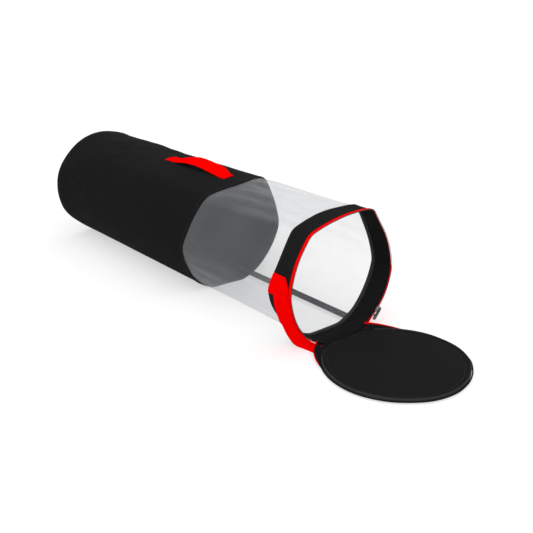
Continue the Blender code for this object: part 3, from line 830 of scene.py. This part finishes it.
def make_film():
    low, high = border_x - film_overlap, collar_x + film_overlap
    xs = np.concatenate((np.linspace(low, border_x, 3)[:-1], np.linspace(border_x, collar_x, 56), [high]))
    outer = [(x, film_depth) for x in xs]
    inner = [(x, film_depth + film_thick) for x in xs[::-1]]
    ride(swept("film_window", outer + inner, film, fine_steps), "bag", "clear_film", "window_film")


def make_collar():
    profile = hem_profile(collar_x, mouth_x, collar_hem, 0, collar_step)
    ride(swept("mouth_collar", profile, collar_cloth, fine_steps), "bag", "black_fabric", "front_collar")


# Zip


def make_coil(name, centre, out, across, body, node):
    """A helical zip coil round a ring. Its wire winds in the plane of out and across."""
    angles = np.radians(np.linspace(-coil_reach, coil_reach, 400))
    path = centre(angles)
    along = lengths_along(path)
    at = np.linspace(0, along[-1], int(along[-1] / coil_pitch) * 8)
    turn = at / coil_pitch * 2 * math.pi
    wind = np.cos(turn)[:, None] * out(np.interp(at, along, angles)) + np.sin(turn)[:, None] * across
    wire = wire_mesh(name, looked_up(at, along, path) + coil_winding * wind, coil_wire, coil_nylon)
    ride(wire, body, "zip_coil", node)


def make_mouth_zip():
    start, end = mouth_tape_low.x, mouth_tape_high.x
    under, over = -seat_gap, -seat_gap - tape_thick
    middle = (under + over) / 2
    foot, corner, tip, band, band_rise = 0.0002, 0.0003, 0.0004, 0.0035, 0.0002
    profile = np.array((
        (start, middle), (start + corner, over), (start + band, over - band_rise), (end - tip, over),
        (end, middle), (end - foot, under), (start + foot, under),
    ))
    angles = np.radians(np.linspace(-tape_reach, tape_reach, tape_steps))
    points = wall_point(angles[:, None], *profile.T)
    tape = bar("mouth_red_tape", points, red_tape, angles * tube_radius, lengths_along(profile, closed=True))
    ride(tape, "bag", "red_tape", "mouth_zip_tape")
    coil_x = (mouth_coil_low.x + mouth_coil_high.x) / 2
    make_coil(
        "mouth_coil",
        lambda a: wall_point(a, coil_x, -coil_lift),
        lambda a: np.stack((0 * a, np.sin(a), np.cos(a)), 1),
        np.array((1.0, 0, 0)),
        "bag",
        "mouth_zip_coil",
    )
    for name in ("zip_stop_near", "zip_stop_far", "zip_slider", "zip_pull"):
        bevel = coat(name, zip_metal).modifiers.new("soft_edges", "BEVEL")
        bevel.width = 0.0003
        bevel.segments = 2
        bevel.limit_method = "ANGLE"


# Lid


def make_lid():
    angles = np.linspace(0, 2 * math.pi, ring_steps, endpoint=False)[:, None]
    shares = np.concatenate((np.linspace(0, 0.96, 30), [0.985, 1.0]))
    nose, dome_high, seam_deep = 0.0002, 0.0016, 0.0003
    for name, node, low, high, radius, cloth, domed in (
        ("lid_outer_fabric", "lid_panel", lid_low.z, lid_high.z, lid_radius, black, False),
        ("lid_inner_fabric", "lid_lining", lining_low.z, lining_high.z, lining_high.y, lining_cloth, True),
    ):
        top = [(radius * share, high) for share in shares]
        under = [(radius * share, low) for share in shares[::-1]]
        reach, height = np.array(top + [(radius + nose, (low + high) / 2)] + under).T
        points = lid_point(angles, reach, height)
        if domed:
            share = reach / radius
            waves = smooth(share, 0, 0.6) * wave_sum(broad_waves, angles, share * 0.4)
            swell = (1 - smooth(share, 0.82, 1.0)) * (1 + 0.5 * waves)
            points[..., 2] += dome_high * np.clip(swell, 0, 2) * (share > 0)
            points[..., 2] -= seam_deep * bell(share, 0.93, 0.02)
        ride(surface(name, points, cloth, uv=points[..., :2], wrap_u=True), "lid", "black_fabric", node)
    coat("lid_board", board)
    make_lid_zip()
    make_piping()
    make_tail("lid_red_tail_near", "lid_tape_tail_near", -1)
    make_tail("lid_red_tail_far", "lid_tape_tail_far", 1)


def tape_lean(angle, height):
    """The standing tape waves a little along its upper edge."""
    lean = 0.0005
    return lean * smooth(height, lid_tape_low.z, lid_tape_high.z) * wave_sum(fine_waves, angle, 0)


def make_lid_zip():
    inner, outer = lid_tape_high.y - tape_thick, lid_tape_high.y
    edge, side_round = 0.0003, 0.0001
    low, high = lid_tape_low.z, lid_coil_high.z - edge
    middle = (low + high) / 2
    profile = np.array((
        (inner, low), (outer, low), (outer, middle), (outer - side_round, high - edge),
        ((inner + outer) / 2, high), (inner + side_round, high - edge), (inner, middle),
    ))
    angles = np.radians(np.linspace(-tape_reach, tape_reach, tape_steps))
    points = lid_point(angles[:, None], *profile.T)
    outward = np.stack((np.cos(angles), np.sin(angles), 0 * angles), 1)
    points += tape_lean(angles[:, None], profile[:, 1])[..., None] * outward[:, None]
    v = lengths_along(profile, closed=True)
    # The tape's lighter grey is painted light on its upright outer face.
    tape = bar("lid_standing_tape", points, painted_light_zip_cloth, angles * tube_radius, v)
    ride(tape, "lid", "dark_binding", "lid_zip_tape")

    def coil_ring(angle):
        """The coil lies inside the tape, but on its upper edge where the slider parks."""
        outwards, parked = 0.0013, (108, 122)
        return inner - coil_lift + outwards * smooth(np.degrees(np.abs(angle)), *parked)

    coil_z = (lid_coil_low.z + lid_coil_high.z) / 2
    make_coil(
        "lid_coil",
        lambda a: lid_point(a, coil_ring(a) + tape_lean(a, lid_tape_high.z), coil_z),
        lambda a: np.stack((np.cos(a), np.sin(a), 0 * a), 1),
        np.array((0, 0, 1.0)),
        "lid",
        "lid_zip_coil",
    )


def make_piping():
    """A covered cord round the lid's rim, gathered in small ridges."""
    size = (piping_high.z - piping_low.z) / 2
    centre_z = (piping_high.z + piping_low.z) / 2
    centre_r = piping_high.y - size
    angles = np.radians(np.linspace(-126, 126, 1200))
    round_turn = np.linspace(0, 2 * math.pi, 10, endpoint=False)
    ridges = 1 + 0.08 * np.sin(angles[:, None] * 300 + round_turn)
    rope = size * ridges * (1 + 0.05 * wave_sum(fine_waves, angles[:, None], 0))
    reach, height = centre_r + rope * np.cos(round_turn), centre_z + rope * np.sin(round_turn)
    points = lid_point(angles[:, None], reach, height)
    v = np.linspace(0, 2 * math.pi * size, 11)
    ride(bar("lid_piping", points, black, angles * centre_r, v), "lid", "black_fabric", "lid_edge_piping")


def flare_line(angles):
    """The sewn edge beside the hinge on the far side: it leaves the lid's rim for the mouth's lower end."""
    radii = blurred(angles, flare_angles, flare_radii, flare_blur)
    heights = blurred(angles, flare_angles, flare_heights, flare_blur)
    turns = np.radians(angles)
    return np.stack((lid_centre_x + radii * np.cos(turns), radii * np.sin(turns), heights), 1)


def across_hinge(piece, slot, *nodes):
    """Bakes a piece's placement into its mesh and hides the frame's parts that it stands in for."""
    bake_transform(piece)
    if nodes:
        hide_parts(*nodes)


def make_tail(name, node, side):
    """The red tape goes on from the mouth along the sewn edge and runs out to a point on the lid's rim."""
    start, end = flare_angles[-1] + 1.5, 124.5
    thick_start, thick_end = 0.0016, 0.0009
    tall_start, tall_end = 0.0072, 0.0010
    girth = 0.018
    angles = np.linspace(start, end, 60)
    line = flare_line(angles)
    outward = np.stack((np.cos(np.radians(angles)), np.sin(np.radians(angles)), 0 * angles), 1)[:, None]
    share = np.linspace(0, 1, 60)[:, None]
    thick = thick_start * (1 - share) + thick_end * share
    tall = tall_start * (1 - share) ** 0.7 + tall_end
    turn = np.linspace(0, 2 * math.pi, 12, endpoint=False)[None, :]
    flat, high = (np.sign(way) * np.abs(way) ** 0.6 for way in (np.cos(turn), np.sin(turn)))
    points = line[:, None] + outward * (thick / 2 * flat)[..., None]
    points[..., 2] = np.maximum(points[..., 2] + tall / 2 * high, lid_low.z)
    points[..., 1] *= side
    tail = bar(name, points, red_tape, lengths_along(line), np.linspace(0, girth, 13))
    across_hinge(tail, "red_tape", node)


def make_gusset(name, side):
    """Cloth beside the hinge, between the lid's rim, the sewn edge and the mouth's lower edge."""
    corner_share = 0.7
    rim_start, rim_turn = flare_angles[0], 45
    wall_start, wall_turn = 150, 13
    tuck, tuck_depth = 0.0080, -0.0006
    rim_out, rim_up = 0.0012, 0.0004
    dip, lowest = 0.0012, 0.0026
    half = np.array((0, 0, 0.00045))
    share = np.linspace(0, 1, 70)
    free, sewn_on = share[share < corner_share], share[share >= corner_share]
    sewn = flare_line(rim_start + (flare_angles[-1] - rim_start) * free / corner_share)
    lower = np.radians(wall_start + wall_turn * (sewn_on - corner_share) / (1 - corner_share))
    under = wall_point(lower, mouth_x - tuck * smooth(sewn_on, corner_share, 0.8), tuck_depth)
    edge = np.concatenate((sewn, under))
    rim = lid_point(np.radians(rim_start + rim_turn * share), lid_radius + rim_out, lid_high.z + rim_up)
    across = np.linspace(0, 1, 9)[None, :, None]
    cloth = rim[:, None] * (1 - across) + edge[:, None] * across
    cloth[..., 2] -= dip * np.sin(math.pi * across[..., 0]) * smooth(share, 0.3, 0.7)[:, None]
    cloth[..., 2] = np.maximum(cloth[..., 2], lowest)
    points = np.concatenate((cloth + half, (cloth - half)[:, ::-1]), 1)
    points[..., 1] *= side
    across_hinge(surface(name, points, black, uv=points[..., :2], wrap_v=True, caps=True), "black_fabric")


def make_hinge():
    """The fabric hinge comes out over the mouth's lower edge and goes on under the lid."""
    thick = 0.0011
    line = np.array(hinge_line)
    ahead = unit(np.gradient(line, axis=0))
    up = np.stack((-ahead[:, 1], ahead[:, 0]), 1) * thick / 2
    across = hinge_half * np.array((-1, -0.985, -0.6, -0.2, 0.2, 0.6, 0.985, 1))
    rows = []
    for (x, z), (ux, uz) in zip(line, up):
        top = [(x + ux, y, z + uz) for y in across]
        under = [(x - ux, y, z - uz) for y in across[::-1]]
        rows.append(top + under)
    v = np.linspace(0, 4 * hinge_half, 2 * len(across) + 1)
    strip = bar("lid_fabric_hinge", np.array(rows), black, lengths_along(line), v)
    across_hinge(strip, "black_fabric", "lid_hinge_strip")
    make_gusset("lid_gusset_near", -1)
    make_gusset("lid_gusset_far", 1)


# Straps


def webbing(name, rows):
    """A strap from its sections, closed at both ends."""
    points = np.array(rows)
    u = np.concatenate((strap_across, strap_across[::-1] + 1.05, [1.6])) * strap_width
    middle = points[:, len(strap_across) // 2]
    strap = surface(name, points.transpose(1, 0, 2), red_webbing, u, lengths_along(middle), wrap_u=True)

    def close_ends(shape):
        bmesh.ops.holes_fill(shape, edges=[edge for edge in shape.edges if edge.is_boundary], sides=64)

    mend(strap.data, close_ends)
    return strap


def wall_section(angle, x, bow=0.0):
    """A strap's section on the wall, from one edge to the other and back, with thicker woven edges."""
    top = wall_point(angle, x, -(seat_gap + bow + webbing_thick * (0.5 + 0.5 * strap_lift)))
    under = wall_point(angle, x, -(seat_gap + bow + webbing_thick * (0.5 - 0.5 * strap_lift)))
    return np.concatenate((top, under[::-1]))


def free_section(start, end, out):
    """The same section between two points off the wall, with out square to its face."""
    across = start + (end - start) * (strap_across[:, None] + 0.5)
    lift = strap_lift[:, None] * out * webbing_thick / 2
    return np.concatenate((across + lift, (across - lift)[::-1]))


def crossed_box(angles, xs):
    """Stitched rows round a box and along its diagonals, on a strap that lies on the wall."""
    thread_gap = 0.0001
    corners = np.array([(angles[a], xs[x]) for a, x in ((0, 0), (1, 0), (1, 1), (0, 1))])
    share = np.linspace(0, 1, 20)[:, None]
    rows = []
    for start, end in ((0, 1), (1, 2), (2, 3), (3, 0), (0, 2), (1, 3)):
        line = corners[start] + (corners[end] - corners[start]) * share
        rows.append(wall_stitches(line[:, 0], line[:, 1], -(seat_gap + webbing_thick + thread_gap)))
    return rows


def make_carry_handle():
    """One length of webbing, sewn flat at both ends, with an arch between. Returns its stitches."""
    sewn_width, worn_end, worn_run, crown_share = 0.0385, 0.004, 0.02, 0.05
    stitch_half, stitch_inset = 0.0172, 0.0035
    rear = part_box("carry_handle_tab_rear")[0].x
    front = rear + handle_places[-1]
    begin, finish = rear + handle_places[1], front - front_sewn_length
    angle = strap_across * sewn_width / tube_radius
    bend = 1 - (2 * strap_across) ** 2
    rows = []
    for place in np.linspace(0, handle_places[-1], 92):
        far, near = (np.interp(place, handle_places, rises) for rises in (far_rises, near_rises))
        bow = (far + near) / 2 + (far - near) * strap_across + crown_share * (far + near) * bend
        x = rear + place + worn_end * (1 - bend) * (1 - smooth(place, 0, worn_run))
        rows.append(wall_section(angle, x, bow))
    handle = webbing("carry_webbing", rows)
    base = float(wall_point(0.0, begin, 0.0)[2]) + webbing_thick
    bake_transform(handle)
    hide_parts("carry_handle_strap", "carry_handle_tab_rear", "carry_handle_tab_front")
    half = stitch_half / tube_radius
    stitches = []
    for low, high in ((rear, begin), (finish, front)):
        stitches += crossed_box((-half, half), (low + stitch_inset, high - stitch_inset))
    return stitches


def end_tab(name, node, side):
    """A sewn patch of webbing on the collar, over the strap's end. Returns its stitches."""
    start, length = 79.0, 0.047
    bend_angle, front_shifts = 7.5, (-0.0065, 0.0070, 0.0076)
    stitch_start, stitch_stop, stitch_half = 1.4, 5.2, 0.0165
    low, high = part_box(node)
    end = start + math.degrees(length / tube_radius)
    rows = []
    for angle in np.radians(np.linspace(start, end, 26)) * side:
        turn = abs(math.degrees(angle))
        front = high.x + np.interp(turn, (start, start + bend_angle, end), front_shifts)
        rows.append(wall_section(angle, low.x + (strap_across + 0.5) * (front - low.x)))
    ride(webbing(name, rows), "bag", "red_webbing", node)
    middle = (low.x + high.x) / 2
    angles = np.radians((start + stitch_start, end - stitch_stop)) * side
    return crossed_box(angles, (middle - stitch_half, middle + stitch_half))


def strap_side_line(floor_z):
    """Y and Z of a side's middle line: down the collar, then slack and inwards to the floor."""
    wall_angles, bend_run = (92.0, 104.5), 0.060
    floor_runs = (0.0015, 0.0030, 0.0045)
    step = 0.001
    radius = tube_radius + 2 * seat_gap + 1.5 * webbing_thick
    wall = np.radians(np.linspace(*wall_angles, 10))
    line = np.stack((radius * np.sin(wall), axis_height + radius * np.cos(wall)), 1)
    bend = line[-1] + bend_run * np.array((math.cos(wall[-1]), -math.sin(wall[-1])))
    share = np.linspace(0, 1, 40)[1:, None]
    foot = np.array((side_foot_y, floor_z))
    slack = line[-1] * (1 - share) ** 2 + 2 * bend * share * (1 - share) + foot * share**2
    floor = [(side_foot_y - run, floor_z) for run in floor_runs]
    line = np.vstack((line, slack, floor))
    along = lengths_along(line)
    return relaxed(looked_up(np.arange(0, along[-1], step), along, line), 3)


def strap_side_edges(floor_z):
    """Rear and front edge points from the collar down to the floor on the far side."""
    resting_gap = 0.0030
    edges = []
    for y, z in strap_side_line(floor_z):
        if z > side_foot_z:
            back = side_low.x + np.interp(z, rear_heights, rear_shifts)
            front = side_low.x + strap_width + np.interp(z, front_heights, front_shifts)
            resting = math.sqrt((tube_radius + resting_gap) ** 2 - (axis_height - z) ** 2)
            edges.append((back, y, z, front, min(y, resting), z))
    edges = np.array(edges + list(strap_turn))
    along = lengths_along((edges[:, :3] + edges[:, 3:]) / 2)
    return relaxed(looked_up(np.linspace(0, along[-1], 120), along, edges), 6)


def strap_floor_edges(start_x, outer_y, floor_z):
    """Outer and inner edge points of the loop under the lid, as far as its middle."""
    corner = 0.0025
    inner_y = outer_y - strap_width
    turn_x = strap_high.x - corner - strap_width
    edges = [(x, outer_y, floor_z, x, inner_y, floor_z) for x in np.linspace(start_x, turn_x, 50)[1:]]
    middle = np.array((turn_x, inner_y - corner, floor_z))
    for turn in np.linspace(0, math.pi / 2, 14)[1:]:
        way = np.array((math.sin(turn), math.cos(turn), 0))
        edges.append((*(middle + way * (corner + strap_width)), *(middle + way * corner)))
    x = turn_x + corner
    edges += [(x + strap_width, y, floor_z, x, y, floor_z) for y in np.linspace(inner_y - corner, 0, 12)[1:]]
    return edges


def make_end_strap():
    """The sides hang slack from the collar and turn forward on the floor; the loop lies under the lid."""
    floor_z = side_low.z + webbing_thick / 2
    edges = strap_side_edges(floor_z)
    edges = np.vstack((edges, strap_floor_edges(edges[-1, 0], edges[-1, 1], floor_z)))
    rear, front = edges[:, :3], edges[:, 3:]
    out = unit(np.cross(front - rear, np.gradient((rear + front) / 2, axis=0)))
    half = np.array([free_section(*ends) for ends in zip(rear, front, out)])
    strap = webbing("end_webbing_loop", np.concatenate((half * (1, -1, 1), half[-2::-1])))
    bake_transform(strap)
    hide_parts("end_handle_strap", "end_handle_side_near", "end_handle_side_far")


# Stitching


def make_stitches(red_rows):
    over_hem, over_cloth, over_tape, over_lining = -0.0007, -0.0002, 0.0002, 0.0002
    tape_inset, lid_share, rim_share, rim_gap = 0.0016, 0.93, 0.985, 0.0001
    ring = np.linspace(-math.pi, math.pi, fine_steps)
    upper = np.radians(np.linspace(-149, 149, tape_steps))
    dark = [
        wall_stitches(ring, x, depth)
        for x, depth in (
            (border_x - 0.0022, over_hem),
            (border_x - 0.0088, over_hem),
            (collar_x + 0.0020, over_hem),
            (collar_x + 0.0072, over_hem),
            (rear_low.x + 0.0030, over_cloth),
        )
    ]
    ride(stitching("bag_stitching", dark, dark_thread), "bag", "dark_binding")
    tape_row = wall_stitches(upper, mouth_tape_low.x + tape_inset, -(seat_gap + tape_thick + over_tape))
    ride(stitching("red_stitching", red_rows + [tape_row], red_thread), "bag", "red_webbing")
    full = np.linspace(-math.pi, math.pi, tape_steps)
    lid_rows = []
    for angles, share, gap in ((upper, lid_share, over_lining), (full, rim_share, rim_gap)):
        path = lid_point(angles, lid_radius * share, lining_high.z + gap)
        lid_rows.append(stitch_row(path, np.tile((0.0, 0.0, 1.0), (len(path), 1))))
    ride(stitching("lid_stitching", lid_rows, dark_thread), "lid", "dark_binding")


# Stage


def light_path(tree):
    """1 for rays that should see a plain white surround, 0 for rays that light the object."""
    node = tree.nodes.new("ShaderNodeLightPath")
    total = calc(tree, "ADD", node.outputs["Is Camera Ray"], node.outputs["Is Glossy Ray"])
    total = calc(tree, "ADD", total, node.outputs["Is Transmission Ray"])
    return calc(tree, "MINIMUM", total, 1.0)


def make_sky():
    world = bpy.data.worlds.new("studio")
    bpy.context.scene.world = world
    world.use_nodes = True
    tree = world.node_tree
    background = tree.nodes["Background"]
    background.inputs["Color"].default_value = (1, 1, 1, 1)
    strength = spread(tree, light_path(tree), (0.0, 1.0), (0.55, 1.0))
    tree.links.new(strength, background.inputs["Strength"])


def make_floor():
    """A pale floor that glows a little for the camera, so that it is white but keeps the shadow."""
    size = 60
    corners = [(-size, -size, 0), (size, -size, 0), (size, size, 0), (-size, size, 0)]
    mesh = bpy.data.meshes.new("studio_floor")
    mesh.from_pydata(corners, [], [(0, 1, 2, 3)])
    made = bpy.data.materials.new("studio_floor")
    made.use_nodes = True
    tree = made.node_tree
    tree.nodes.remove(tree.nodes["Principled BSDF"])
    diffuse = tree.nodes.new("ShaderNodeBsdfDiffuse")
    shade = spread(tree, light_path(tree), (0.0, 1.0), (0.9, 0.5))
    tree.links.new(tinted(tree, (1, 1, 1), shade), diffuse.inputs["Color"])
    glow = tree.nodes.new("ShaderNodeEmission")
    tree.links.new(calc(tree, "MULTIPLY", light_path(tree), 0.55), glow.inputs["Strength"])
    both = tree.nodes.new("ShaderNodeAddShader")
    tree.links.new(diffuse.outputs[0], both.inputs[0])
    tree.links.new(glow.outputs[0], both.inputs[1])
    tree.links.new(both.outputs[0], tree.nodes["Material Output"].inputs["Surface"])
    mesh.materials.append(made)
    add("studio_floor", mesh)


def make_lights():
    for name, strength, width, direction in (
        ("top_light", 1.15, 100, (0.1, -0.15, 1.0)),
        ("camera_side_light", 0.75, 80, (0.8, -0.9, 0.75)),
    ):
        light = bpy.data.lights.new(name, "SUN")
        light.energy = strength
        light.angle = math.radians(width)
        add(name, light).rotation_euler = Vector(direction).to_track_quat("Z", "Y").to_euler()


def make_camera():
    camera = bpy.data.cameras.new("photo_camera")
    camera.lens = camera_lens
    camera.sensor_width = camera_sensor
    item = add("photo_camera", camera)
    item.location = camera_place
    item.rotation_euler = (item.location - Vector(camera_target)).to_track_quat("Z", "Y").to_euler()
    bpy.context.scene.camera = item


make_camera()
make_sky()
make_floor()
make_lights()
make_rear()
make_seams()
make_film()
make_collar()
make_mouth_zip()
make_lid()
make_hinge()
handle_stitches = make_carry_handle()
handle_stitches += end_tab("end_webbing_tab_near", "end_handle_tab_near", -1)
handle_stitches += end_tab("end_webbing_tab_far", "end_handle_tab_far", 1)
make_end_strap()
make_stitches(handle_stitches)
bpy.context.scene.view_settings.view_transform = "Standard"
